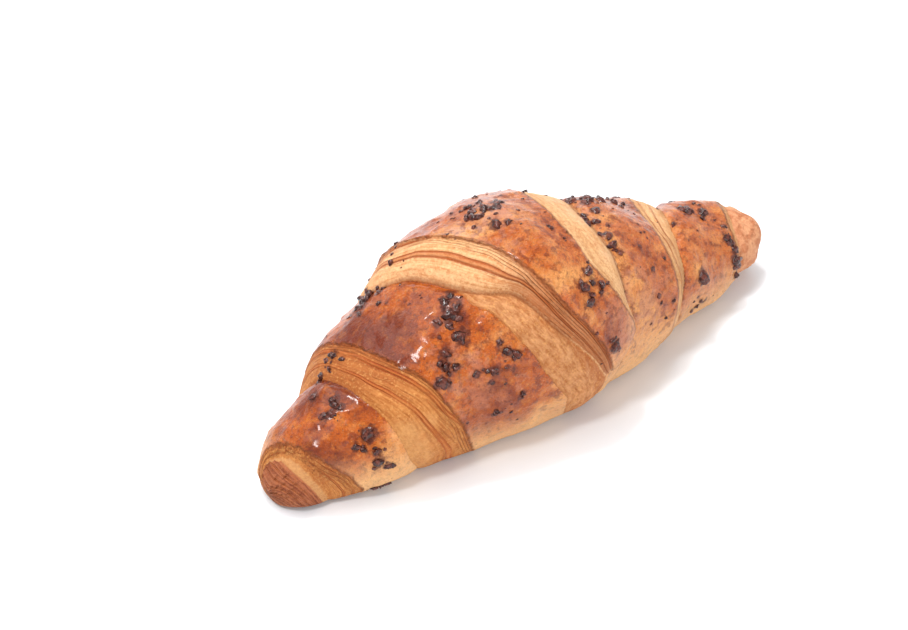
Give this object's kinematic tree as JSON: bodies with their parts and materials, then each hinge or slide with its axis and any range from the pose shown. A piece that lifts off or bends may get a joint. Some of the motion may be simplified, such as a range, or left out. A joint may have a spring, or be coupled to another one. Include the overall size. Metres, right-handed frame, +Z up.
{
  "type": "chocolate hazelnut croissant",
  "caption": "Whole baked croissant of rolled laminated dough with blunt tips and dark chocolate crumbs baked onto its glazed crust.",
  "frame": {"origin": "middle of the flat base, on the surface that the croissant rests on", "axes": "+X along the roll from the slimmer tip to the fuller one, +Y towards the back, where the last turn of dough starts over the top, +Z up"},
  "size_m": [0.16, 0.0654, 0.0524],
  "materials": {
    "crust": "glazed golden brown baked dough with dark chocolate crumbs"
  },
  "bodies": {
    "root": {"croissant": "crust"}
  },
  "joints": []
}
